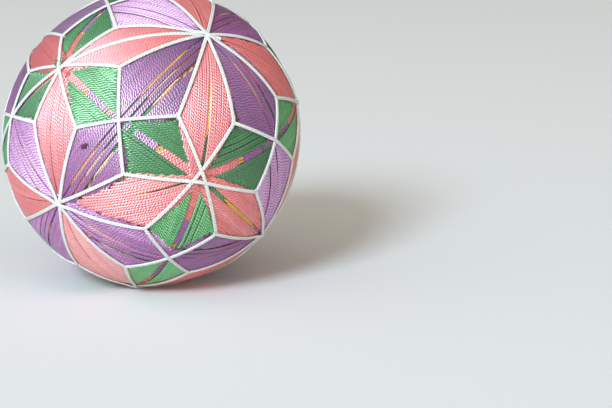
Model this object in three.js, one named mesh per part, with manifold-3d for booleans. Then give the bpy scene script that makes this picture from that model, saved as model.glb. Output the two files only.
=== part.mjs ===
// Temari ball: a thread ball stitched all over with pointed fields of pink, purple and green
// thread, each field edged by a raised white outline thread.
// Millimetres, +Z up, resting on z = 0. The ball stands centred on the Z axis and faces -Y.

import * as THREE from "three";
import { mergeVertices } from "three/addons/utils/BufferGeometryUtils.js";
import Module from "manifold-3d";

const wasm = await Module();
wasm.setup();

// Driving sizes
const BALL_RADIUS = 36;
const FLAT_DROP = 0.35; // how far the resting spot is pressed into the ball
const CENTRE = new THREE.Vector3(0, 0, BALL_RADIUS - FLAT_DROP);

// A hand-wound ball isn't quite round: it swells or sinks toward these sides of its front view
const SWELL_FOCUS = 4;
const SWELLS = [
  { right: 1, up: 1, by: 0.7 },
  { right: -1, up: 1, by: -0.7 },
  { right: 1, up: -1, by: -0.25 },
];

// The front view looks down on the ball a little, and the three division axes lie askew in it
const VIEW_ELEVATION = 12;
const AXES_TURN = { x: 157.8, y: 48.7, z: 52.5 };

// Pins along the three axes: a four-point star lies on an axis, a two-point crossing midway
// between two axes, a three-point star midway between all three. The outline threads of each
// small triangle between them meet over the meeting pin.
const MEETING_REACH = [3.62, 2.16, 1];

// How far each pin was set off its true place by hand, in the front view. A pin's code counts
// its share of each axis: 3, 2, 1 is the meeting pin nearest the first axis, then the second.
const PIN_DRIFTS = [
  { pin: [1, 0, 0], right: 0.1, up: 1.5 },
  { pin: [0, 1, 0], right: 0, up: 1.4 },
  { pin: [1, 1, 1], right: 0.6, up: 1.0 },
  { pin: [1, 1, -1], right: -0.5, up: -0.5 },
  { pin: [1, 1, 0], right: -1.4, up: -0.2 },
  { pin: [1, 0, 1], right: 1.1, up: 0.1 },
  { pin: [1, 0, -1], right: 0, up: -0.9 },
  { pin: [0, 1, -1], right: 1.2, up: 0.1 },
  { pin: [3, 1, 2], right: 0, up: 0.3 },
  { pin: [2, 3, 1], right: -1.2, up: -0.1 },
  { pin: [1, 3, 2], right: -0.2, up: -0.6 },
  { pin: [2, 3, -1], right: 0.5, up: -0.4 },
  { pin: [1, 3, -2], right: 1.2, up: 0.5 },
  { pin: [3, 2, -1], right: -0.9, up: 0.4 },
  { pin: [3, 1, -2], right: -0.2, up: -0.9 },
  { pin: [2, 1, 3], right: 0.6, up: -0.4 },
  { pin: [1, 2, 3], right: 0.3, up: 0.1 },
  { pin: [-1, 3, 2], right: 1.0, up: 0.2 },
  { pin: [3, -1, 2], right: 0.6, up: -1.3 },
  { pin: [2, -1, 3], right: 0.3, up: -0.6 },
  { pin: [2, 1, -3], right: 0.4, up: -2.8 },
  { pin: [1, 2, -3], right: 1.3, up: -0.8 },
  { pin: [-1, 3, -2], right: 0.1, up: 0.9 },
  { pin: [-1, 2, 3], right: 0, up: 0.7 },
];

// Stitched fields: between two pins runs a slit where the last threads of both halves nearly meet
const SLIT_DEPTH = 0.6;
const FIELDS = {
  pink: { from: "four", to: "three", slit: 0.8, steps: 8 },
  purple: { from: "four", to: "two", slit: 0.9, steps: 6 },
  green: { from: "three", to: "two", slit: 1.7, steps: 5 },
};
const EDGE_SHARE = 0.06; // first row of points, as a share of the way to the meeting pin
const ROWS = [
  { share: 0.36, fewer: 2 },
  { share: 0.68, fewer: 4 },
];

// White outline thread, sewn on over the finished fields, its crossings piled up into a knot
const OUTLINE = { base: 1.2, crown: 0.7 };
const OUTLINE_LIFT = 0.35;
const OUTLINE_HEIGHT = 0.6;
const KNOT_RISE = 0.3;
const THREAD_STEP = 5.5;
// One guide thread of the ball's division was left on show: it starts with a loose end beside
// the first star and runs over the next pins to the far side
const GUIDE = { base: 0.9, crown: 0.5 };
const GUIDE_PINS = [[1, 0, 0], [1, 1, -1], [0, 1, -1], [-1, 1, -1]];
const GUIDE_END = { toward: [1, -1, 1], length: 3.6 };

const threadMaterial = (name, color) =>
  new THREE.MeshStandardMaterial({ name, color, roughness: 0.6, metalness: 0 });

// Front-view directions in the ball's own frame
const tilt = THREE.MathUtils.degToRad(VIEW_ELEVATION);
const RIGHT = new THREE.Vector3(1, 0, 0);
const UP = new THREE.Vector3(0, Math.sin(tilt), Math.cos(tilt));
const TOWARD = new THREE.Vector3(0, -Math.cos(tilt), Math.sin(tilt));

const turns = ["x", "y", "z"].map((axis) => THREE.MathUtils.degToRad(AXES_TURN[axis]));
const axesTurn = new THREE.Euler(...turns, "XYZ");

function slideAcrossView(direction, { right, up }) {
  const x = direction.dot(RIGHT) + right / BALL_RADIUS;
  const y = direction.dot(UP) + up / BALL_RADIUS;
  const z = Math.sqrt(Math.max(1 - x * x - y * y, 0));
  return new THREE.Vector3().addScaledVector(RIGHT, x).addScaledVector(UP, y)
    .addScaledVector(TOWARD, z).normalize();
}

// Direction of a pin from the ball's centre, with its drift
function pinDirection(code) {
  const isMeeting = new Set(code.map(Math.abs)).size === 3 && !code.includes(0);
  const reach = code.map((share) =>
    isMeeting ? Math.sign(share) * MEETING_REACH[3 - Math.abs(share)] : share);
  const direction = new THREE.Vector3(...reach).normalize().applyEuler(axesTurn);
  const drift = PIN_DRIFTS.find(({ pin }) => pin.every((share, i) => share === code[i]));
  return drift ? slideAcrossView(direction, drift) : direction;
}

// The 48 small triangles of the division, each with its four pins
function divisionTriangles() {
  const orders = [[0, 1, 2], [0, 2, 1], [1, 0, 2], [1, 2, 0], [2, 0, 1], [2, 1, 0]];
  const triangles = [];
  for (const order of orders) {
    for (let signs = 0; signs < 8; signs += 1) {
      const pinAt = (...shares) => {
        const code = [0, 0, 0];
        order.forEach((axis, place) => {
          const isFlipped = (signs & (1 << axis)) > 0 && shares[place] > 0;
          code[axis] = isFlipped ? -shares[place] : shares[place];
        });
        return pinDirection(code);
      };
      triangles.push({
        four: pinAt(1, 0, 0),
        two: pinAt(1, 1, 0),
        three: pinAt(1, 1, 1),
        meeting: pinAt(3, 2, 1),
      });
    }
  }
  return triangles;
}

// Along the straight thread between two directions
function between(from, to, share) {
  const angle = from.angleTo(to);
  return from.clone().multiplyScalar(Math.sin((1 - share) * angle))
    .addScaledVector(to, Math.sin(share * angle)).normalize();
}

function radiusToward(direction) {
  let radius = BALL_RADIUS;
  for (const { right, up, by } of SWELLS) {
    const facing = (direction.dot(RIGHT) * right + direction.dot(UP) * up) / Math.SQRT2;
    radius += by * Math.max(facing, 0) ** SWELL_FOCUS;
  }
  return radius;
}

function surfacePoint(direction, lift) {
  return direction.clone().multiplyScalar(radiusToward(direction) + lift).add(CENTRE);
}

// Joins two rows of points by triangles, whichever row has more points
function bridgeRows(lower, upper, triangles) {
  let i = 0;
  let j = 0;
  while (i < lower.length - 1 || j < upper.length - 1) {
    const nextLower = (i + 1) / Math.max(lower.length - 1, 1);
    const nextUpper = (j + 1) / Math.max(upper.length - 1, 1);
    if (j === upper.length - 1 || (i < lower.length - 1 && nextLower <= nextUpper)) {
      triangles.push([lower[i], lower[i + 1], upper[j]]);
      i += 1;
    } else {
      triangles.push([lower[i], upper[j + 1], upper[j]]);
      j += 1;
    }
  }
}

// Half a field: from its slit up to the meeting pin of the outline threads
function halfFieldTriangles(from, to, meeting, { slit, steps }) {
  const height = between(from, to, 0.5).angleTo(meeting) * BALL_RADIUS;
  const shares = (count) => Array.from({ length: count + 1 }, (_, i) => i / count);
  const inField = (along, share) => between(between(from, to, along), meeting, share);
  const opening = (along) => Math.sqrt(Math.max(Math.sin(Math.PI * along), 0));
  const rowAt = (share, fewer) =>
    shares(Math.max(steps - fewer, 1)).map((along) => surfacePoint(inField(along, share), 0));
  const slitFloor = shares(steps).map((along) =>
    surfacePoint(between(from, to, along), -SLIT_DEPTH * opening(along)));
  const slitLip = shares(steps).map((along) => {
    const isEnd = along === 0 || along === 1;
    const share = isEnd ? EDGE_SHARE : (slit / 2) * opening(along) / height;
    return surfacePoint(inField(along, share), 0);
  });
  const rows = [slitFloor, slitLip, ...ROWS.map(({ share, fewer }) => rowAt(share, fewer))];
  rows.push([surfacePoint(meeting, 0)]);
  const triangles = [];
  for (let i = 0; i < rows.length - 1; i += 1) bridgeRows(rows[i], rows[i + 1], triangles);
  return triangles;
}

function trianglesGeometry(triangles) {
  const positions = triangles.flat().flatMap((corner) => corner.toArray());
  const geometry = new THREE.BufferGeometry();
  geometry.setAttribute("position", new THREE.Float32BufferAttribute(positions, 3));
  return geometry;
}

// The same triangles, each turned to face away from the centre
function facingOutward(triangles) {
  return triangles.map(([a, b, c]) => {
    const normal = b.clone().sub(a).cross(c.clone().sub(a));
    return normal.dot(a.clone().sub(CENTRE)) >= 0 ? [a, b, c] : [a, c, b];
  });
}

function toSolid(geometry) {
  const bare = geometry.clone();
  bare.deleteAttribute("normal");
  bare.deleteAttribute("uv");
  const merged = mergeVertices(bare, 1e-4);
  return new wasm.Manifold(new wasm.Mesh({
    numProp: 3,
    vertProperties: new Float32Array(merged.attributes.position.array),
    triVerts: new Uint32Array(merged.index.array),
  }));
}

function toMesh(solid, name, material) {
  const { vertProperties, triVerts } = solid.getMesh();
  const geometry = new THREE.BufferGeometry();
  geometry.setAttribute("position", new THREE.Float32BufferAttribute(vertProperties, 3));
  geometry.setIndex(Array.from(triVerts));
  geometry.computeVertexNormals();
  const mesh = new THREE.Mesh(geometry, material);
  mesh.name = name;
  return mesh;
}

// Everything below the surface that the ball rests on
function groundSolid() {
  const side = BALL_RADIUS * 3;
  const depth = BALL_RADIUS;
  return toSolid(new THREE.BoxGeometry(side, side, depth).translate(0, 0, -depth / 2));
}

function ballSolid(division) {
  const triangles = [];
  for (const pins of division) {
    for (const field of Object.values(FIELDS)) {
      triangles.push(...halfFieldTriangles(pins[field.from], pins[field.to], pins.meeting, field));
    }
  }
  return toSolid(trianglesGeometry(facingOutward(triangles)));
}

// The outline threads and the guide thread, each as the two pins it runs between
function outlineThreads(division) {
  const threads = [];
  for (const pins of division) {
    for (const kind of ["four", "two", "three"]) {
      threads.push({ from: pins[kind], to: pins.meeting, section: OUTLINE });
    }
  }
  const guide = GUIDE_PINS.map(pinDirection);
  for (let i = 0; i < guide.length - 1; i += 1) {
    threads.push({ from: guide[i], to: guide[i + 1], section: GUIDE });
  }
  const ahead = pinDirection(GUIDE_END.toward);
  const share = GUIDE_END.length / (guide[0].angleTo(ahead) * BALL_RADIUS);
  threads.push({ from: guide[0], to: between(guide[0], ahead, share), section: GUIDE });
  return threads;
}

// Where the left side of one thread meets the right side of the next, both starting at a pin
function sideCrossing(left, leftWidth, right, rightWidth) {
  const turn = Math.sin(right.angle - left.angle);
  const alongLeft = (rightWidth + leftWidth * Math.cos(right.angle - left.angle)) / turn / 2;
  return {
    x: alongLeft * Math.cos(left.angle) - (leftWidth / 2) * Math.sin(left.angle),
    y: alongLeft * Math.sin(left.angle) + (leftWidth / 2) * Math.cos(left.angle),
  };
}

// The threads around one pin in turning order, with the foot and crown corners between them
function pinCrossing(pin, ends) {
  const east = new THREE.Vector3(0, 0, 1).cross(pin).normalize();
  const north = pin.clone().cross(east);
  for (const end of ends) {
    const away = end.far.clone().sub(pin);
    end.angle = Math.atan2(away.dot(north), away.dot(east));
  }
  ends.sort((a, b) => a.angle - b.angle);
  const place = ({ x, y }, lift) => surfacePoint(
    pin.clone().multiplyScalar(BALL_RADIUS).addScaledVector(east, x)
      .addScaledVector(north, y).normalize(), lift);
  const corners = (placeAcross) => ({
    foot: place(placeAcross("base"), OUTLINE_LIFT),
    top: place(placeAcross("crown"), OUTLINE_LIFT + OUTLINE_HEIGHT),
  });
  if (ends.length === 1) {
    const [end] = ends;
    const beside = (sign) => corners((part) => ({
      x: -sign * Math.sin(end.angle) * end.section[part] / 2,
      y: sign * Math.cos(end.angle) * end.section[part] / 2,
    }));
    Object.assign(end, { left: beside(1), right: beside(-1) });
    return;
  }
  ends.forEach((end, i) => {
    const next = ends[(i + 1) % ends.length];
    end.left = corners((part) => sideCrossing(end, end.section[part], next, next.section[part]));
    next.right = end.left;
  });
}

function crossingTriangles(pin, ends) {
  if (ends.length === 1) {
    const [{ left, right }] = ends;
    return [[left.foot, right.foot, right.top], [left.foot, right.top, left.top]];
  }
  const foot = surfacePoint(pin, OUTLINE_LIFT);
  const knot = surfacePoint(pin, OUTLINE_LIFT + OUTLINE_HEIGHT + KNOT_RISE);
  return ends.flatMap(({ left, right }) =>
    [[knot, right.top, left.top], [foot, left.foot, right.foot]]);
}

function threadTriangles(from, to, section, start, finish) {
  const across = from.clone().cross(to).normalize();
  const count = Math.max(Math.ceil(from.angleTo(to) * BALL_RADIUS / THREAD_STEP), 1);
  const sections = [[start.right.foot, start.left.foot, start.left.top, start.right.top]];
  for (let i = 1; i < count; i += 1) {
    const direction = between(from, to, i / count);
    const foot = surfacePoint(direction, OUTLINE_LIFT);
    const top = surfacePoint(direction, OUTLINE_LIFT + OUTLINE_HEIGHT);
    const beside = (point, width, sign) =>
      point.clone().addScaledVector(across, sign * width / 2);
    sections.push([
      beside(foot, section.base, -1), beside(foot, section.base, 1),
      beside(top, section.crown, 1), beside(top, section.crown, -1),
    ]);
  }
  sections.push([finish.left.foot, finish.right.foot, finish.right.top, finish.left.top]);
  const triangles = [];
  for (let i = 0; i < count; i += 1) {
    const [here, ahead] = [sections[i], sections[i + 1]];
    here.forEach((corner, k) => {
      const next = (k + 1) % here.length;
      triangles.push([corner, here[next], ahead[next]], [corner, ahead[next], ahead[k]]);
    });
  }
  return triangles;
}

// The whole net of outline threads as one piece, mitred where they cross
function outlineSolid(division) {
  const crossings = new Map();
  const keyOf = (pin) => pin.toArray().map((part) => part.toFixed(4)).join();
  const endAt = (pin, far, section) => {
    const key = keyOf(pin);
    if (!crossings.has(key)) crossings.set(key, { pin, ends: [] });
    const end = { far, section };
    crossings.get(key).ends.push(end);
    return end;
  };
  const threads = outlineThreads(division).map(({ from, to, section }) =>
    ({ from, to, section, start: endAt(from, to, section), finish: endAt(to, from, section) }));
  for (const { pin, ends } of crossings.values()) pinCrossing(pin, ends);
  const triangles = [
    ...threads.flatMap(({ from, to, section, start, finish }) =>
      threadTriangles(from, to, section, start, finish)),
    ...[...crossings.values()].flatMap(({ pin, ends }) => crossingTriangles(pin, ends)),
  ];
  return toSolid(trianglesGeometry(triangles));
}

const division = divisionTriangles();
const ground = groundSolid();
const temari = new THREE.Group();
temari.add(
  toMesh(ballSolid(division).subtract(ground), "ball", threadMaterial("field_thread", 0xe8868c)),
  toMesh(outlineSolid(division).subtract(ground), "outline", threadMaterial("white_thread", 0xebf0eb)),
);

export default temari;
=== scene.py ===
"""Temari ball: coloured threads laid one by one over a wound ball, white outline threads
sewn on over them, resting on a plain pale floor."""

import math

import bpy
import numpy as np
from mathutils import Matrix, Vector


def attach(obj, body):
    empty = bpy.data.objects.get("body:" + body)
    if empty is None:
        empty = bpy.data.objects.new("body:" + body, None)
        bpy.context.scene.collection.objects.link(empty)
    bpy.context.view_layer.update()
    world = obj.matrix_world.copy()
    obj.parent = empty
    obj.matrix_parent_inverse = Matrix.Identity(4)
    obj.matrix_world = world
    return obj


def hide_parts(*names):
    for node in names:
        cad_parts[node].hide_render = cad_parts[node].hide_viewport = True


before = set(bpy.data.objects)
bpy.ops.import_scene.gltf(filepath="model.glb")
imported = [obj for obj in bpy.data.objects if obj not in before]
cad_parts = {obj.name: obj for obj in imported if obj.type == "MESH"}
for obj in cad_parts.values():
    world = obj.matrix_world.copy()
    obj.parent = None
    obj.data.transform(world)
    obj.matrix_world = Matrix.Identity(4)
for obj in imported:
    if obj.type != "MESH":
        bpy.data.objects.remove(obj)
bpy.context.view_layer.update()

MM = 0.001

# The wound ball, as in the part's own drawing: its size, the flat spot pressed in below, and
# how it swells or sinks toward the corners of its front view (right, up, by)
BALL_RADIUS = 36 * MM
FLAT_DROP = 0.35 * MM
CENTRE = np.array([0, 0, BALL_RADIUS - FLAT_DROP])
SWELL_FOCUS = 4
SWELLS = [(1, 1, 0.7 * MM), (-1, 1, -0.7 * MM), (1, -1, -0.25 * MM)]

# Front view and division of the ball: how far the view looks down and how the three axes are
# turned, in degrees, and how far a meeting pin reaches along them. The turn and the reach were
# fitted to where the photo shows the pins.
VIEW_ELEVATION = 12
AXES_TURN = (157.8, 48.7, 52.5)
MEETING_REACH = (3.62, 2.16, 1)

# How far each pin sits off its regular place: pin code, then right and up in the front view in
# millimetres. A code counts the pin's share of each division axis. All rows but the last are what
# a scratch script printed, which cast the pins' places in the photo, read by eye, back onto the
# ball. The last row was chosen and isn't in the part's own drawing.
PIN_DRIFTS = {
    (1, 0, 0): (0.1, 1.5),
    (0, 1, 0): (0, 1.4),
    (1, 1, 1): (0.6, 1.0),
    (1, 1, -1): (-0.5, -0.5),
    (1, 1, 0): (-1.4, -0.2),
    (1, 0, 1): (1.1, 0.1),
    (1, 0, -1): (0, -0.9),
    (0, 1, -1): (1.2, 0.1),
    (3, 1, 2): (0, 0.3),
    (2, 3, 1): (-1.2, -0.1),
    (1, 3, 2): (-0.2, -0.6),
    (2, 3, -1): (0.5, -0.4),
    (1, 3, -2): (1.2, 0.5),
    (3, 2, -1): (-0.9, 0.4),
    (3, 1, -2): (-0.2, -0.9),
    (2, 1, 3): (0.6, -0.4),
    (1, 2, 3): (0.3, 0.1),
    (-1, 3, 2): (1.0, 0.2),
    (3, -1, 2): (0.6, -1.3),
    (2, -1, 3): (0.3, -0.6),
    (2, 1, -3): (0.4, -2.8),
    (1, 2, -3): (1.3, -0.8),
    (-1, 3, -2): (0.1, 0.9),
    (-1, 2, 3): (0, 0.7),
    (-2, 1, 3): (-0.15, 0.45),
}

# Threads
PITCH = 0.62 * MM
THREAD_WIDTH = 0.76 * MM
THREAD_HEIGHT = 0.4 * MM
THREAD_STEP = 1.2 * MM
BEAD = 0.75 * MM  # along the thread, from one ply's crest to the next
GROUND_DEPTH = 0.9 * MM  # the ground's surface, below the tops of the field threads
OUTLINE_WIDTH = 0.52 * MM
OUTLINE_LIFT = 0.2 * MM
BEAD_SPREAD = 0.1  # how much the beads of single threads differ, as a share
BEAD_DRIFT = 0.3  # how far beads stray along their thread, in beads
BEAD_DRIFT_SPEED = (0.25, 0.6)  # radians for each bead
WAVE_START = 6  # radians: a wave starts anywhere in nearly a full turn

rng = np.random.default_rng(48)

tilt = math.radians(VIEW_ELEVATION)
RIGHT = np.array([1.0, 0, 0])
UP = np.array([0, math.sin(tilt), math.cos(tilt)])
TOWARD = np.array([0, -math.cos(tilt), math.sin(tilt)])


def axes_turn():
    x, y, z = (math.radians(a) for a in AXES_TURN)
    turn = Matrix.Rotation(x, 3, "X") @ Matrix.Rotation(y, 3, "Y") @ Matrix.Rotation(z, 3, "Z")
    return np.array(turn)


AXES = axes_turn()


def unit(vectors):
    return vectors / np.linalg.norm(vectors, axis=-1, keepdims=True)


def pin_direction(code):
    """Direction of a pin from the ball's centre, with its drift."""
    is_meeting = sorted(map(abs, code)) == [1, 2, 3]
    reach = [math.copysign(MEETING_REACH[3 - abs(s)], s) if is_meeting else s for s in code]
    direction = unit(AXES @ np.array(reach, float))
    if tuple(code) not in PIN_DRIFTS:
        return direction
    right, up = PIN_DRIFTS[tuple(code)]
    x = direction @ RIGHT + right * MM / BALL_RADIUS
    y = direction @ UP + up * MM / BALL_RADIUS
    by = math.copysign(math.sqrt(max(1 - x * x - y * y, 0)), direction @ TOWARD)
    return unit(x * RIGHT + y * UP + by * TOWARD)


def between(start, end, share):
    """Along the straight thread between two directions."""
    share = np.asarray(share, float)[..., None]
    angle = np.arccos(np.clip((start * end).sum(-1, keepdims=True), -1, 1))
    return unit(np.sin((1 - share) * angle) * start + np.sin(share * angle) * end)


def arc(start, end):
    return float(np.arccos(np.clip(start @ end, -1, 1))) * BALL_RADIUS


def corner_sine(corner, first, second):
    """Sine of the angle at a corner between the straight threads to two other directions."""
    planes = unit(np.cross(corner, first)), unit(np.cross(corner, second))
    return float(np.linalg.norm(np.cross(*planes)))


def surface(directions, lift=0.0):
    """Points of the wound ball toward these directions, raised by lift."""
    radius = np.full(directions.shape[:-1], BALL_RADIUS)
    for right, up, by in SWELLS:
        facing = (directions @ RIGHT * right + directions @ UP * up) / math.sqrt(2)
        radius = radius + by * np.maximum(facing, 0) ** SWELL_FOCUS
    return directions * (radius + lift)[..., None] + CENTRE


def division():
    """The 48 small triangles of the division, each with the codes of its four pins."""
    orders = [(0, 1, 2), (0, 2, 1), (1, 0, 2), (1, 2, 0), (2, 0, 1), (2, 1, 0)]
    triangles = []
    for order in orders:
        for signs in range(8):
            def pin(*shares):
                code = [0, 0, 0]
                for axis, share in zip(order, shares):
                    code[axis] = -share if signs >> axis & 1 else share
                return tuple(code)
            triangles.append({
                "four": pin(1, 0, 0), "two": pin(1, 1, 0),
                "three": pin(1, 1, 1), "meeting": pin(3, 2, 1),
            })
    return triangles


class Strands:
    """Threads of one colour, gathered and then made into one mesh."""

    SECTION = np.radians([-25, 20, 65, 115, 160, 205])

    def __init__(self):
        self.points, self.loops, self.faces, self.caps = [], [], [], []
        self.tones, self.count = [], 0

    def add(self, directions, lift, width, height, tone, phase):
        """One thread along these directions. lift is where its middle lies, at each station."""
        ridge = surface(directions, lift)
        along = np.gradient(ridge, axis=0)
        across = unit(np.cross(along, directions))
        sides, stations = len(self.SECTION), len(ridge)
        width = np.broadcast_to(width, (stations,))[:, None, None]
        height = np.broadcast_to(height, (stations,))[:, None, None]
        rings = (ridge[:, None] + across[:, None] * np.cos(self.SECTION)[:, None] * width / 2
                 + directions[:, None] * np.sin(self.SECTION)[:, None] * height / 2)
        # Where the ball rests, its threads are pressed flat
        rings[..., 2] = np.maximum(rings[..., 2], 0)
        steps = np.linalg.norm(np.diff(ridge, axis=0), axis=1)
        turns = np.concatenate([[0], np.cumsum(steps)]) / (BEAD * rng.normal(1, BEAD_SPREAD)) + phase
        speed = rng.uniform(*BEAD_DRIFT_SPEED)
        turns = turns + BEAD_DRIFT * np.sin(turns * speed + rng.random() * WAVE_START)
        first = self.count + np.arange(stations - 1)[:, None] * sides
        side = np.arange(sides)[None]
        following = (side + 1) % sides
        quads = np.stack([first + side, first + sides + side,
                          first + sides + following, first + following], -1).reshape(-1, 4)
        self.points.append(rings.reshape(-1, 3))
        v = self.SECTION / math.pi
        self.loops.append(np.stack(np.broadcast_arrays(turns[:, None], v[None]), -1).reshape(-1, 2))
        self.tones.append(np.repeat(np.broadcast_to(tone, stations), sides))
        self.faces.append(quads)
        start = self.count + np.arange(sides)
        self.caps.append(start[::-1])
        self.caps.append(start + (stations - 1) * sides)
        self.count += stations * sides

    def build(self, name):
        """The mesh of all threads, with its own map for the twist and a tone at each point."""
        points = np.concatenate(self.points)
        quads = np.concatenate(self.faces)
        mesh = bpy.data.meshes.new(name)
        mesh.from_pydata(points.tolist(), [], quads.tolist() + [c.tolist() for c in self.caps])
        mesh.update()
        turns = np.concatenate(self.loops)
        corners = np.zeros(len(mesh.loops), np.int32)
        mesh.loops.foreach_get("vertex_index", corners)
        layer = mesh.uv_layers.new(name="twist")
        layer.data.foreach_set("uv", turns[corners].astype(np.float32).ravel())
        tone = mesh.attributes.new("tone", "FLOAT", "POINT")
        tone.data.foreach_set("value", np.concatenate(self.tones).astype(np.float32))
        mesh.polygons.foreach_set("use_smooth", np.ones(len(mesh.polygons), bool))
        piece = bpy.data.objects.new(name, mesh)
        bpy.context.collection.objects.link(piece)
        return piece


strands = {colour: Strands() for colour in
           ("pink", "purple", "green", "gold", "cream", "plum", "white")}

# Each kind of field: the pins at both ends of its slit
FIELDS = {
    "pink": ("four", "three"),
    "purple": ("four", "two"),
    "green": ("three", "two"),
}

# Slits: half the opening at the star and at the other end in millimetres, and between which
# shares of its length it is open
SLITS = {
    "pink": (0.18, 0.18, 0.05, 1),
    "purple": (0.36, 0.32, 0, 1),
    "green": (1.15, 0.86, -0.05, 1.15),
}
# Single slits that are wider, tighter or shorter than the rest of their kind
ODD_SLITS = {
    ((1, 0, 0), (1, 1, 1)): (0.1, 0.56, 0.28, 1.1),
    ((0, 1, 0), (1, 1, 1)): (0.05, 0.24, 0.5, 1.1),
    ((0, 0, 1), (1, 1, 1)): (0.45, 0.6, -0.05, 1.05),
    ((1, 0, 0), (1, 1, -1)): (0.3, 0.3, 0, 1),
    ((0, 1, 0), (1, 1, -1)): (0.1, 0.1, 0, 0.6),
}
# Painted sheen and shade: fields painted paler or deeper than the rest of their kind, standing in
# for how much gloss and light each catches: one tone for the whole field, or one at the star and one
# at the other end. Set by comparing render and photo.
FIELD_SHEEN_AND_SHADE = {
    ((0, 0, -1), (1, 1, -1)): -5.5,
    ((1, 0, 0), (1, 1, -1)): -1,
    ((0, 1, 0), (-1, 1, 1)): 5,
    ((0, 0, 1), (1, 1, 1)): 1.5,
    ((1, 0, 0), (1, 1, 1)): -0.5,
    ((1, 1, 1), (1, 0, 1)): -3,
    ((1, 1, 1), (0, 1, 1)): 5,
    ((-1, 1, 1), (0, 1, 1)): 7,
    ((1, -1, 1), (1, 0, 1)): 4.5,
    ((-1, 1, -1), (0, 1, -1)): 2,
    ((1, 1, -1), (1, 1, 0)): 3.5,
    ((0, 0, -1), (1, 0, -1)): -3.5,
    ((0, 0, -1), (0, 1, -1)): -2,
    ((1, 0, 0), (1, 1, 0)): (-5.5, 1),
    ((0, 1, 0), (1, 1, -1)): (-4, 1),
    ((0, 1, 0), (1, 1, 0)): (0, -1),
    ((1, 0, 0), (1, 0, 1)): -1.5,
    ((1, 0, 0), (1, 0, -1)): (9, 2.5),
    ((0, 0, 1), (1, 0, 1)): 5.5,
    ((0, 1, 0), (0, 1, 1)): (4, 1.5),
    ((0, 1, 0), (0, 1, -1)): (5, 3.5),
    ((0, 1, 0), (-1, 1, 0)): 3,
}
# Slits that show all of their lying threads and have the widest gaps beside them; others
# show some
FULL_SLITS = [((1, 0, 0), (1, 1, 0)), ((0, 1, 0), (1, 1, 0)), ((1, 0, 0), (1, 1, 1)),
              ((0, 0, 1), (1, 1, 1)), ((0, 1, 0), (0, 1, 1)), ((0, 0, 1), (0, 1, 1)),
              ((1, 0, 0), (1, 0, 1))]
# One half of each purple field has gaps between its first threads as well: after which thread
# and how wide in millimetres
PURPLE_GAPS = ((2, 0.55), (4, 1.0))
# Single halves of fields with gaps too: the field's pins and the meeting pin
ODD_GAPS = {
    ((1, 1, 1), (0, 1, 1), (1, 2, 3)): ((1, 0.35), (3, 0.3)),
    ((1, 1, 1), (1, 1, 0), (2, 3, 1)): ((1, 0.14), (3, 0.14), (5, 0.12), (7, 0.1)),
    ((1, 1, 1), (1, 0, 1), (3, 1, 2)): ((1, 0.1), (3, 0.14), (5, 0.12)),
    ((1, 1, 1), (1, 0, 1), (2, 1, 3)): ((2, 0.12), (4, 0.12)),
    ((1, 1, -1), (1, 1, 0), (2, 3, -1)): ((1, 0.16), (4, 0.12)),
    ((1, 0, 0), (1, -1, 1), (3, -1, 2)): ((1, 0.14), (3, 0.2)),
}

# How far threads run on past the outline into the next field, where the photo shows it: the
# meeting pin, the outline's other end, the colour that runs on, and how far in millimetres
# beside that end and beside the meeting pin
SEEN_OVERRUNS = {
    ((3, 2, 1), "three"): ("pink", 1.5, 0.6),
    ((2, 3, 1), "three"): ("pink", 0.1, 0.4),
    ((3, 2, -1), "three"): ("pink", 1.1, -0.5),
    ((2, 3, -1), "three"): ("pink", 1.2, -0.5),
    ((3, 2, 1), "two"): ("purple", -0.1, 1.5),
    ((2, 3, 1), "two"): ("purple", 0, 1.5),
    ((3, -1, 2), "four"): ("purple", 1.2, 1.9),
    ((2, 3, 1), "four"): ("purple", 1.2, 1.5),
    ((1, 3, 2), "four"): ("purple", 1.7, 0.7),
    ((1, 3, 2), "two"): ("purple", 1.9, 0.9),
    ((1, 2, 3), "two"): ("purple", 1.9, 0.9),
    ((3, 1, 2), "four"): ("pink", -2.6, 2.6),
    ((3, 1, 2), "three"): ("pink", 0.3, 0.2),
    ((1, 3, 2), "three"): ("pink", 0.9, 0.3),
}


def slit_of(kind, ends):
    wide, narrow, opens, closes = ODD_SLITS.get(ends, SLITS[kind])
    return wide * MM, narrow * MM, opens, closes


def overruns():
    """How far the threads of one field run on past the outline into the next, for each side."""
    table = {}
    for triangle in division():
        meeting = triangle["meeting"]
        table[meeting, "three"] = ("pink", rng.uniform(0.2, 1.4), rng.uniform(-0.5, 0.6))
        table[meeting, "two"] = ("purple", rng.uniform(-0.4, 0.3), rng.uniform(0.2, 1.1))
        table[meeting, "four"] = (rng.choice(["pink", "purple"]), 0, rng.uniform(-0.8, 0.8))
    table.update(SEEN_OVERRUNS)
    return table


OVERRUNS = overruns()


def side_overrun(kind, meeting, end, share):
    """How far this thread runs on past the outline, or stops short of it."""
    runner, beside_end, beside_meeting = OVERRUNS[meeting, end]
    reach = beside_end + (beside_meeting - beside_end) * share
    if runner == kind:
        return max(reach + 0.4, 0) * MM
    return -max(reach - 0.1, 0) * MM


def smooth_step(value, low, high):
    share = np.clip((value - low) / (high - low), 0, 1)
    return share * share * (3 - 2 * share)


gap_side = {}
for triangle in division():
    kite = triangle["four"], triangle["two"]
    if kite not in gap_side or rng.random() < 0.5:
        gap_side[kite] = triangle["meeting"]
gap_side[(1, 0, 0), (1, 1, 0)] = (3, 2, 1)


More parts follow.
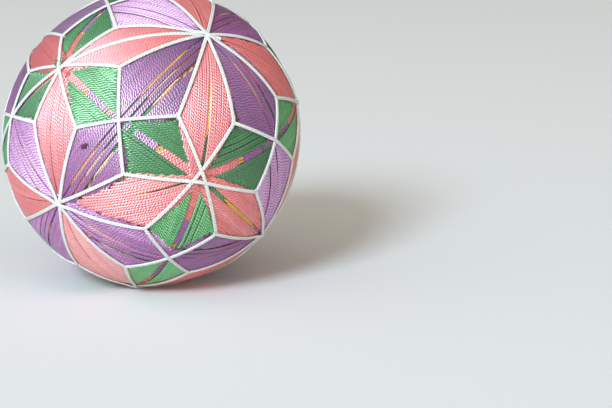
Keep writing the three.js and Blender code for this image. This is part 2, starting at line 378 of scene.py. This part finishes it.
# Unevenness of the fields, in millimetres where nothing else is said
FIELD_TONE_SPREAD = 0.35
END_SPREAD = 0.14
SIDE_SPREAD = 0.035
HEIGHT_SPREAD = 0.018
SWAY = 0.05
SWAY_SPEED = (4, 11)  # radians over a thread's length
END_DIP = 0.3
OVERRUN_FADE = 6  # overruns fade out over the last sixth of the way to the meeting pin
LEAST_SINE = 0.25
OPENING = 0.12  # share of a slit over which it opens
CLOSING = 0.1
BEAD_OFFSET = (0.68, 0.5)  # from one thread's beads to the next one's, and its spread
STREAK_KEPT = 0.6  # how much of its neighbour's streak a thread keeps
STREAK_SPREAD = 0.65


def lay_half_field(kind, triangle):
    """The parallel threads of half a field, from its slit out to the meeting pin."""
    start_kind, end_kind = FIELDS[kind]
    codes = (triangle[start_kind], triangle[end_kind])
    start, end = (pin_direction(c) for c in codes)
    meeting = pin_direction(triangle["meeting"])
    wide, narrow, opens, closes = slit_of(kind, codes)
    length = arc(start, end)
    height = arc(between(start, end, 0.5), meeting)
    sides = {start_kind: corner_sine(start, end, meeting),
             end_kind: corner_sine(end, start, meeting)}
    # The field's tone: a random spread plus its painted sheen or shade, at the star and at the other
    # end
    tones = rng.normal(0, FIELD_TONE_SPREAD) + np.broadcast_to(FIELD_SHEEN_AND_SHADE.get(codes, 0), 2)
    gaps = [(after, width * MM) for after, width in ODD_GAPS.get((*codes, triangle["meeting"]), ())]
    if kind == "purple" and gap_side[codes] == triangle["meeting"]:
        spread = (0.8, 1.2) if codes in FULL_SLITS else (0.35, 0.8)
        gaps = [(after, width * MM * rng.uniform(*spread)) for after, width in PURPLE_GAPS]
    first_edge = (wide + narrow) / 2
    covered = height - first_edge - sum(width for _, width in gaps)
    count = max(int(round(covered / PITCH)), 3)
    pitch = covered / count
    phase = rng.random()
    streak = 0
    for number in range(count):
        edge = first_edge + sum(width for after, width in gaps if number >= after)
        share = (edge + (number + 0.5) * pitch) / height
        own_length = length * (1 - share)
        fade = min(1, (1 - share) * OVERRUN_FADE)
        overs = [(side_overrun(kind, triangle["meeting"], side, share) * fade
                  + rng.normal(0, END_SPREAD) * MM) / max(sine, LEAST_SINE)
                 for side, sine in sides.items()]
        stations = max(int(own_length / THREAD_STEP), 3)
        along = np.linspace(-overs[0] / own_length, 1 + overs[1] / own_length, stations + 1)
        place = share / 2 + along * (1 - share)
        is_open = (smooth_step(place, opens, opens + OPENING)
                   - smooth_step(place, closes - CLOSING, closes))
        gap = (wide + (narrow - wide) * place) * is_open
        speed = rng.uniform(*SWAY_SPEED)
        sway = np.sin(along * speed + rng.random() * WAVE_START) * SWAY * MM
        offset = share * height + (gap - first_edge) * (1 - share) ** 2 + sway
        offset = offset + rng.normal(0, SIDE_SPREAD) * MM
        directions = between(between(start, end, along), meeting, offset / height)
        lift = np.full(stations + 1, -THREAD_HEIGHT / 2) + rng.normal(0, HEIGHT_SPREAD) * MM
        lift[[0, -1]] -= END_DIP * MM
        phase += BEAD_OFFSET[0] + rng.normal(0, BEAD_OFFSET[1])
        streak = STREAK_KEPT * streak + rng.normal(0, STREAK_SPREAD)
        # The thread's tone, which carries painted sheen or shade, runs from the star's value to the
        # other end's, plus a random streak
        tone = tones[0] + (tones[1] - tones[0]) * place + streak
        strands[kind].add(directions, lift, THREAD_WIDTH, THREAD_HEIGHT, tone, phase)


# What crosses each slit under the last threads: from and to along it, colour, slant in degrees,
# and how far it reaches to each side in millimetres
CROSSINGS = {
    "green": [(0.02, 0.47, "pink", 60, -1.9, 1.9), (0.53, 0.81, "purple", 90, -1.7, 1.7),
              (0.86, 1.0, "purple", 80, -1.5, 1.5)],
    "pink": [(0.04, 0.26, "purple", 55, -1.1, 1.1), (0.7, 0.96, "green", 75, -1.2, 1.2)],
    "purple": [(0.05, 0.28, "purple", 60, -1, 1.1), (0.1, 0.48, "pink", 50, 1.5, 5),
               (0.66, 0.99, "green", 80, -0.9, 5)],
}
# Threads lying along each slit: colour, how far to its side in millimetres, from and to
LYING = {
    "green": [("gold", -0.5, 0, 1), ("gold", 0.1, 0, 1), ("cream", 0.6, 0, 1)],
    "pink": [("gold", -0.14, 0.25, 0.75), ("gold", 0.22, 0.2, 0.7)],
    "purple": [("gold", -0.16, 0.2, 0.78), ("gold", 0.2, 0.26, 0.7), ("cream", 1.75, 0.4, 0.75),
               ("cream", 2.05, 0.36, 0.7), ("cream", 3.6, 0.44, 0.78), ("gold", 3.9, 0.52, 0.7),
               ("cream", 4.1, 0.48, 0.74)],
}
LYING_WIDTH = 0.5 * MM
LYING_LIFT = {"green": -0.74, "pink": -0.4, "purple": -0.4}
LYING_LEFT_OUT = 0.45  # share of the lying threads that don't show
LYING_SWAY = 0.08
LYING_SWAY_SPEED = 9
LYING_DIP = 0.4
CROSSING_DEPTH = 0.52
CROSSING_STEP = 0.6


def lay_slit(kind, codes):
    """The threads that lie along a slit, and the lower ones that cross it."""
    start, end = (pin_direction(c) for c in codes)
    length = arc(start, end)
    across = unit(np.cross(start, end))
    if kind == "purple" and across @ pin_direction(gap_side[codes]) < 0:
        across = -across
    for colour, offset, first, last in LYING[kind]:
        if kind != "green" and codes not in FULL_SLITS:
            if rng.random() < LYING_LEFT_OUT:
                continue
            first += rng.uniform(-0.05, 0.25)
            last -= rng.uniform(-0.05, 0.2)
        along = np.linspace(first, last, max(int(length * (last - first) / THREAD_STEP), 4))
        wave = np.sin(along * LYING_SWAY_SPEED + rng.random() * WAVE_START)
        sway = offset * MM + wave * LYING_SWAY * MM
        directions = unit(between(start, end, along) + across * sway[:, None] / BALL_RADIUS)
        lift = np.full(len(along), LYING_LIFT[kind] * MM)
        lift[[0, -1]] -= LYING_DIP * MM
        strands[colour].add(directions, lift, LYING_WIDTH, LYING_WIDTH, rng.normal(0, 0.6),
                            rng.random())
    for first, last, colour, slant, near, far in CROSSINGS[kind]:
        lean = math.radians(slant + rng.normal(0, 6))
        place = first + rng.normal(0, 0.02)
        while place < last:
            middle = between(start, end, place)
            forward = unit(np.cross(across, middle))
            line = forward * math.cos(lean) + across * math.sin(lean)
            stations = max(int((far - near) / CROSSING_STEP), 6)
            steps = np.linspace(near, far, stations)[:, None] * MM
            directions = unit(middle + line * steps / BALL_RADIUS)
            sunk = rng.uniform(0, 0.08) * MM
            strands[colour].add(directions, np.full(len(steps), -CROSSING_DEPTH * MM - sunk),
                                THREAD_WIDTH, THREAD_HEIGHT, rng.normal(-0.2, 0.5), rng.random())
            place += PITCH / math.sin(lean) / length * rng.uniform(0.95, 1.2)


# How far the outline threads pass beside a pin, so that they cross round it, in millimetres
CROSSING_ASIDE = {"four": 0.12, "three": 0.35, "two": 0.1}
ASIDE = {(1, 1, 1): 0.85}
OUTLINE_STEP = 0.8 * MM
OUTLINE_BESIDE = 0.17  # half the distance between the two threads of an outline, in millimetres
OUTLINE_DIP = 0.5 * MM
PILE_RISE = 0.22  # how much higher each next thread crosses, in millimetres
PILE_REACH = 2.2 * MM


def lay_outlines():
    """White threads, each running straight over a star or crossing from meeting to meeting."""
    ends = {}
    for triangle in division():
        for kind in ("four", "two", "three"):
            ends.setdefault((kind, triangle[kind]), []).append(triangle["meeting"])
    for (kind, code), meetings in ends.items():
        pin = pin_direction(code)
        east = unit(np.cross([0, 0, 1], pin))
        north = np.cross(pin, east)
        meetings = sorted(meetings, key=lambda m: math.atan2(
            pin_direction(m) @ north, pin_direction(m) @ east))
        half = len(meetings) // 2
        for layer in range(half):
            pair = [pin_direction(meetings[layer]), pin_direction(meetings[layer + half])]
            aside = ASIDE.get(code, CROSSING_ASIDE[kind]) * MM
            lay_outline(pin, pair, layer, -aside if layer == 1 else aside)


def lay_outline(pin, pair, layer, aside):
    """One outline thread over a pin, doubled, its crossing piled by layer."""
    side = unit(np.cross(pair[0], pair[1]) + np.cross(pair[0], pin))
    over = unit(pin + side * aside / BALL_RADIUS)
    stations = int((arc(pair[0], over) + arc(over, pair[1])) / OUTLINE_STEP)
    legs = [between(pair[0], over, np.linspace(-0.03, 1, stations // 2)),
            between(over, pair[1], np.linspace(0, 1.03, stations // 2))[1:]]
    directions = np.concatenate(legs)
    for _ in range(2):
        directions[1:-1] = unit(directions[:-2] + 2 * directions[1:-1] + directions[2:])
    away = np.arccos(np.clip(directions @ pin, -1, 1)) * BALL_RADIUS
    lift = OUTLINE_LIFT + layer * PILE_RISE * MM * np.exp(-(away / PILE_REACH) ** 2)
    lift[[0, -1]] -= OUTLINE_DIP
    along = np.gradient(directions, axis=0)
    beside = unit(np.cross(along, directions)) * OUTLINE_BESIDE * MM / BALL_RADIUS
    tone = rng.normal(0, 0.4)
    for sign in (-1, 1):
        strands["white"].add(unit(directions + sign * beside), lift, OUTLINE_WIDTH,
                             OUTLINE_WIDTH, tone, rng.random())


GUIDE_PINS = [(1, 0, 0), (1, 1, -1), (0, 1, -1), (-1, 1, -1)]
GUIDE_END = ((1, -1, 1), 3.6 * MM)
GUIDE_WIDTH = 0.5 * MM
GUIDE_LIFT = 0.12 * MM
GUIDE_BESIDE = 0.2


def lay_guide():
    """The guide thread left on show, with its loose end beside the first star."""
    pins = [pin_direction(code) for code in GUIDE_PINS]
    ahead = pin_direction(GUIDE_END[0])
    tail = between(pins[0], ahead, GUIDE_END[1] / arc(pins[0], ahead))
    stops = [tail, *pins]
    legs = [between(a, b, np.linspace(0, 1, max(int(arc(a, b) / OUTLINE_STEP), 4)))[:-1]
            for a, b in zip(stops[:-1], stops[1:])]
    directions = np.concatenate(legs)
    along = np.gradient(directions, axis=0)
    beside = unit(np.cross(along, directions)) * GUIDE_BESIDE * MM / BALL_RADIUS
    for sign in (-1, 1):
        strands["white"].add(unit(directions + sign * beside), np.full(len(directions), GUIDE_LIFT),
                             GUIDE_WIDTH, GUIDE_WIDTH, rng.normal(0, 0.3), rng.random())


# A small dark knot left in one purple field, and stray ends of green beside a star: between
# which pins and how far along, and their looks
KNOT = ((0, 1, 0), (1, 1, 0), (2, 3, -1), 0.59, 0.36)
STRAYS = [((1, 1, -1), (0, 0, -1), 2.6, 0.5), ((1, 1, -1), (0, 0, -1), 3.2, -0.6),
          ((1, 1, -1), (1, 0, -1), 2.4, 0.3)]
FINE_WIDTH = 0.4 * MM
KNOT_STATIONS = 26


def lay_knot():
    """A knot of plum thread: small turns piled on each other."""
    star, crossing, meeting, along, across = KNOT
    base = between(pin_direction(star), pin_direction(crossing), along)
    centre = between(base, pin_direction(meeting), across)
    east = unit(np.cross([0, 0, 1], centre))
    north = np.cross(centre, east)
    angles = np.linspace(0, 5 * math.pi, KNOT_STATIONS)
    reach = (0.26 + 0.22 * np.sin(angles * 0.7 + 1)) * MM / BALL_RADIUS
    ring = np.cos(angles)[:, None] * east * 1.5 + np.sin(angles + 0.4)[:, None] * north
    ring[-4:] += (-east - north) * np.linspace(1, 4, 4)[:, None]
    lift = (0.05 + 0.3 * np.linspace(0, 1, KNOT_STATIONS)) * MM
    strands["plum"].add(unit(centre + ring * reach[:, None]), lift, FINE_WIDTH, FINE_WIDTH, 0, 0)


def lay_strays():
    """Short green ends that stand out beside a star."""
    for star, toward, length, bend in STRAYS:
        start, end = pin_direction(star), pin_direction(toward)
        share = length * MM / arc(start, end)
        side = unit(np.cross(start, end))
        steps = np.linspace(0.2, 1, 8)
        bow = side * (np.sin(steps * 2.6) * bend * MM / BALL_RADIUS)[:, None]
        directions = unit(between(start, end, steps * share) + bow)
        lift = (0.35 + 0.3 * steps) * MM
        strands["green"].add(directions, lift, FINE_WIDTH, FINE_WIDTH, 1, rng.random())


def add_math(tree, operation, first, second=0.0, third=0.0):
    """One math node of numbers or other nodes' values."""
    node = tree.nodes.new("ShaderNodeMath")
    node.operation = operation
    for socket, value in zip(node.inputs, (first, second, third)):
        if isinstance(value, (int, float)):
            socket.default_value = value
        else:
            tree.links.new(value, socket)
    return node.outputs[0]


FIBRE_SCALE = 900
FIBRE_DETAIL = 2
# Painted shade and light: a ply's colour is deepest in its groove and lightest on its crest
GROOVE_END = 0.1  # levels between which a ply's colour goes from deep to light
CREST_START = 0.68
THREAD_IOR = 1.9


def thread_material(name, groove_shade, light, painted_sheen, shine, gloss=1.0, roughness=0.42, relief=0.46):
    """Twisted two-ply thread: crests of the plies light, the grooves between them deep as painted
    shade, and pale as painted sheen where the thread's tone is high."""
    material = bpy.data.materials.new(name)
    material.use_nodes = True
    nodes, links = material.node_tree.nodes, material.node_tree.links
    shader = nodes["Principled BSDF"]
    twist = nodes.new("ShaderNodeUVMap")
    twist.uv_map = "twist"
    parts = nodes.new("ShaderNodeSeparateXYZ")
    links.new(twist.outputs["UV"], parts.inputs[0])

    def math_node(operation, *values):
        return add_math(material.node_tree, operation, *values)

    # Across one ply: 0 in the groove beside it, 1 in the next groove
    ply = math_node("FRACT", math_node("SUBTRACT", parts.outputs["X"], parts.outputs["Y"]))
    crest = math_node("SINE", math_node("MULTIPLY", ply, math.pi))
    slope = math_node("COSINE", math_node("MULTIPLY", ply, math.pi))
    tone = nodes.new("ShaderNodeAttribute")
    tone.attribute_name = "tone"
    place = nodes.new("ShaderNodeTexCoord")
    fibre = nodes.new("ShaderNodeTexNoise")
    fibre.inputs["Scale"].default_value = FIBRE_SCALE
    fibre.inputs["Detail"].default_value = FIBRE_DETAIL
    links.new(place.outputs["Object"], fibre.inputs["Vector"])
    # Painted light and shade: the level runs from the groove's painted shade to the crest, and the
    # tone, which carries the fields' painted sheen or shade and a random spread, pushes it toward
    # the pale painted sheen
    shade = math_node("MULTIPLY_ADD", tone.outputs["Fac"], 0.1,
                      math_node("MULTIPLY_ADD", fibre.outputs["Fac"], 0.5, -0.1))
    level = math_node("MULTIPLY", math_node("MULTIPLY_ADD", crest, 0.7, shade), 0.75)
    ramp = nodes.new("ShaderNodeValToRGB")
    ramp.color_ramp.elements[0].color = (*groove_shade, 1)
    ramp.color_ramp.elements[0].position = GROOVE_END
    ramp.color_ramp.elements[1].color = (*light, 1)
    ramp.color_ramp.elements[1].position = CREST_START
    ramp.color_ramp.elements.new(1).color = (*painted_sheen, 1)
    links.new(level, ramp.inputs["Fac"])
    links.new(ramp.outputs["Color"], shader.inputs["Base Color"])

    # The round of each ply, as a lean of the surface: slight along the thread, where its fibres
    # run, and strong across
    lean = nodes.new("ShaderNodeCombineXYZ")
    links.new(math_node("MULTIPLY_ADD", slope, -0.12 * relief, 0.5), lean.inputs["X"])
    links.new(math_node("MULTIPLY_ADD", slope, 0.4 * relief, 0.5), lean.inputs["Y"])
    lean.inputs["Z"].default_value = 0.75
    round_ply = nodes.new("ShaderNodeNormalMap")
    round_ply.uv_map = "twist"
    links.new(lean.outputs[0], round_ply.inputs["Color"])
    links.new(round_ply.outputs["Normal"], shader.inputs["Normal"])
    links.new(math_node("MULTIPLY_ADD", crest, -0.35, roughness + 0.35), shader.inputs["Roughness"])
    shader.inputs["Specular IOR Level"].default_value = gloss
    shader.inputs["Specular Tint"].default_value = (*shine, 1)
    shader.inputs["IOR"].default_value = THREAD_IOR
    return material


def srgb(red, green, blue):
    """Linear colour of an sRGB colour given as 0 to 255."""
    def linear(value):
        value /= 255
        return value / 12.92 if value <= 0.04045 else ((value + 0.055) / 1.055) ** 2.4
    return tuple(linear(v) for v in (red, green, blue))


def ground_ball():
    """The wound ball under the fields, seen at the bottom of the slits."""
    bpy.ops.object.select_all(action="DESELECT")
    bpy.ops.mesh.primitive_ico_sphere_add(subdivisions=6, radius=BALL_RADIUS)
    ball = bpy.context.object
    ball.name = "ground_ball"
    mesh = ball.data
    points = np.empty(len(mesh.vertices) * 3)
    mesh.vertices.foreach_get("co", points)
    directions = unit(points.reshape(-1, 3))
    mesh.vertices.foreach_set("co", surface(directions, -GROUND_DEPTH).ravel())
    bpy.ops.object.shade_smooth()
    return ball


def ground_material():
    material = bpy.data.materials.new("cream_winding")
    material.use_nodes = True
    nodes, links = material.node_tree.nodes, material.node_tree.links
    shader = nodes["Principled BSDF"]
    place = nodes.new("ShaderNodeTexCoord")
    wave = nodes.new("ShaderNodeTexWave")
    wave.inputs["Scale"].default_value = 260
    wave.inputs["Distortion"].default_value = 6
    links.new(place.outputs["Object"], wave.inputs["Vector"])
    ramp = nodes.new("ShaderNodeValToRGB")
    ramp.color_ramp.elements[0].color = (*srgb(150, 120, 80), 1)
    ramp.color_ramp.elements[1].color = (*srgb(236, 220, 196), 1)
    links.new(wave.outputs["Fac"], ramp.inputs["Fac"])
    links.new(ramp.outputs["Color"], shader.inputs["Base Color"])
    bump = nodes.new("ShaderNodeBump")
    bump.inputs["Strength"].default_value = 0.6
    bump.inputs["Distance"].default_value = 0.1 * MM
    links.new(wave.outputs["Fac"], bump.inputs["Height"])
    links.new(bump.outputs["Normal"], shader.inputs["Normal"])
    shader.inputs["Roughness"].default_value = 0.8
    return material


def make_floor():
    bpy.ops.object.select_all(action="DESELECT")
    bpy.ops.mesh.primitive_plane_add(size=8, location=(0, 0, 0))
    floor = bpy.context.object
    floor.name = "floor"
    material = bpy.data.materials.new("pale_floor")
    material.use_nodes = True
    shader = material.node_tree.nodes["Principled BSDF"]
    shader.inputs["Base Color"].default_value = (*srgb(231, 236, 237), 1)
    shader.inputs["Roughness"].default_value = 0.7
    shader.inputs["Specular IOR Level"].default_value = 0
    floor.data.materials.append(material)


# Camera: a long lens from the front, a little above, fitted with the division's turn. Its place
# off the ball's centre, in ball radii along the view's right, up and toward
CAMERA_LENS = 111.8
CAMERA_OFF = (1.0515, -0.4488, 12.91)


def make_camera():
    camera = bpy.data.objects.new("camera", bpy.data.cameras.new("camera"))
    bpy.context.collection.objects.link(camera)
    camera.data.lens = CAMERA_LENS
    camera.data.sensor_width = 36
    camera.data.clip_start = 0.01
    right, up, toward = CAMERA_OFF
    place = CENTRE + (right * RIGHT + up * UP + toward * TOWARD) * BALL_RADIUS
    turn = Matrix([RIGHT, UP, TOWARD]).transposed().to_4x4()
    camera.matrix_world = Matrix.Translation(Vector(place)) @ turn
    bpy.context.scene.camera = camera


# Soft round panels: the compass angle that the light travels toward (0 is straight to the
# right, 90 away from the camera), height above the floor, distance, size, power and tint. The
# gloss panel beside the key adds to the threads' gloss alone.
PANELS = {
    "key_panel": (66, 30.5, 3.4, 1.0, 98, (0.86, 1, 1.15)),
    "gloss_panel": (48, 31.5, 3.4, 0.9, 235, (0.92, 1, 1.06)),
    "fill_panel": (146, 12, 2.4, 1.5, 7, (1.12, 1, 0.86)),
}
# Light of the room, brightest from the camera's side: its tint, its least and its added strength,
# how narrow the bright side is, and where that side lies
ROOM_TINT = (1.12, 1, 0.87)
ROOM_LIGHT = (0.17, 0.85)
ROOM_FOCUS = 3
ROOM_TOWARD = (-0.3, -0.86, 0.4)


def make_lights():
    for name, (compass, height, distance, size, power, tint) in PANELS.items():
        heading, height = math.radians(compass), math.radians(height)
        toward_light = Vector((-math.cos(heading) * math.cos(height),
                               -math.sin(heading) * math.cos(height), math.sin(height)))
        light = bpy.data.lights.new(name, "AREA")
        light.shape = "DISK"
        light.size = size
        light.energy = power
        light.color = tint
        panel = bpy.data.objects.new(name, light)
        bpy.context.collection.objects.link(panel)
        panel.location = Vector(CENTRE) + toward_light * distance
        panel.rotation_euler = toward_light.to_track_quat("Z", "Y").to_euler()
        panel.visible_diffuse = name != "gloss_panel"
    world = bpy.data.worlds.new("room")
    world.use_nodes = True
    nodes, links = world.node_tree.nodes, world.node_tree.links
    place = nodes.new("ShaderNodeTexCoord")
    facing = nodes.new("ShaderNodeVectorMath")
    facing.operation = "DOT_PRODUCT"
    facing.inputs[1].default_value = ROOM_TOWARD
    links.new(place.outputs["Generated"], facing.inputs[0])
    half = add_math(world.node_tree, "MULTIPLY_ADD", facing.outputs["Value"], 0.5, 0.5)
    focus = add_math(world.node_tree, "POWER", half, ROOM_FOCUS)
    strength = add_math(world.node_tree, "MULTIPLY_ADD", focus, ROOM_LIGHT[1], ROOM_LIGHT[0])
    background = nodes["Background"]
    background.inputs["Color"].default_value = (*ROOM_TINT, 1)
    links.new(strength, background.inputs["Strength"])
    bpy.context.scene.world = world
    bpy.context.scene.view_settings.view_transform = "Standard"


def finish_piece(piece, material, slot, *nodes):
    piece.data.materials.append(material)
    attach(piece, "root")
    if nodes:
        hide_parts(*nodes)


for triangle in division():
    for kind in FIELDS:
        lay_half_field(kind, triangle)
slits = {(kind, triangle[ends[0]], triangle[ends[1]])
         for triangle in division() for kind, ends in FIELDS.items()}
for kind, start, end in sorted(slits):
    lay_slit(kind, (start, end))
lay_outlines()
lay_guide()
lay_knot()
lay_strays()

# Colours of each thread: deep, the dye darkened as painted shade for the grooves; light, the crests;
# pale, a painted sheen; then the tint of the real gloss
MATERIALS = {
    "pink": thread_material("pink_thread", srgb(182, 40, 48), srgb(235, 120, 114),
                            srgb(246, 190, 186), (0.86, 0.86, 0.92), relief=0.32),
    "purple": thread_material("purple_thread", srgb(62, 2, 78), srgb(160, 64, 148),
                              srgb(214, 166, 220), (0.93, 0.86, 1), roughness=0.38, relief=0.4),
    "green": thread_material("green_thread", srgb(2, 50, 20), srgb(22, 114, 52),
                             srgb(122, 196, 130), (0.62, 1, 0.68)),
    "gold": thread_material("gold_thread", srgb(170, 108, 20), srgb(244, 190, 70),
                            srgb(255, 226, 140), (1, 0.85, 0.5)),
    "cream": thread_material("cream_thread", srgb(190, 150, 110), srgb(240, 220, 196),
                             srgb(250, 240, 226), (1, 1, 1), 0.2, 0.5),
    "plum": thread_material("plum_thread", srgb(50, 4, 40), srgb(110, 28, 90),
                            srgb(150, 90, 140), (1, 1, 1), 0.2, 0.6),
    "white": thread_material("white_thread", srgb(196, 202, 198), srgb(230, 234, 229),
                             srgb(242, 244, 240), (1, 1, 1), 0.2, 0.5, 0.3),
}
SLOTS = {"white": "white_thread"}

ground = ground_ball()
finish_piece(ground, ground_material(), "field_thread", "ball")
for colour, made in strands.items():
    nodes = ["outline"] if colour == "white" else []
    piece = made.build(colour + "_threads")
    finish_piece(piece, MATERIALS[colour], SLOTS.get(colour, "field_thread"), *nodes)

make_floor()
make_camera()
make_lights()
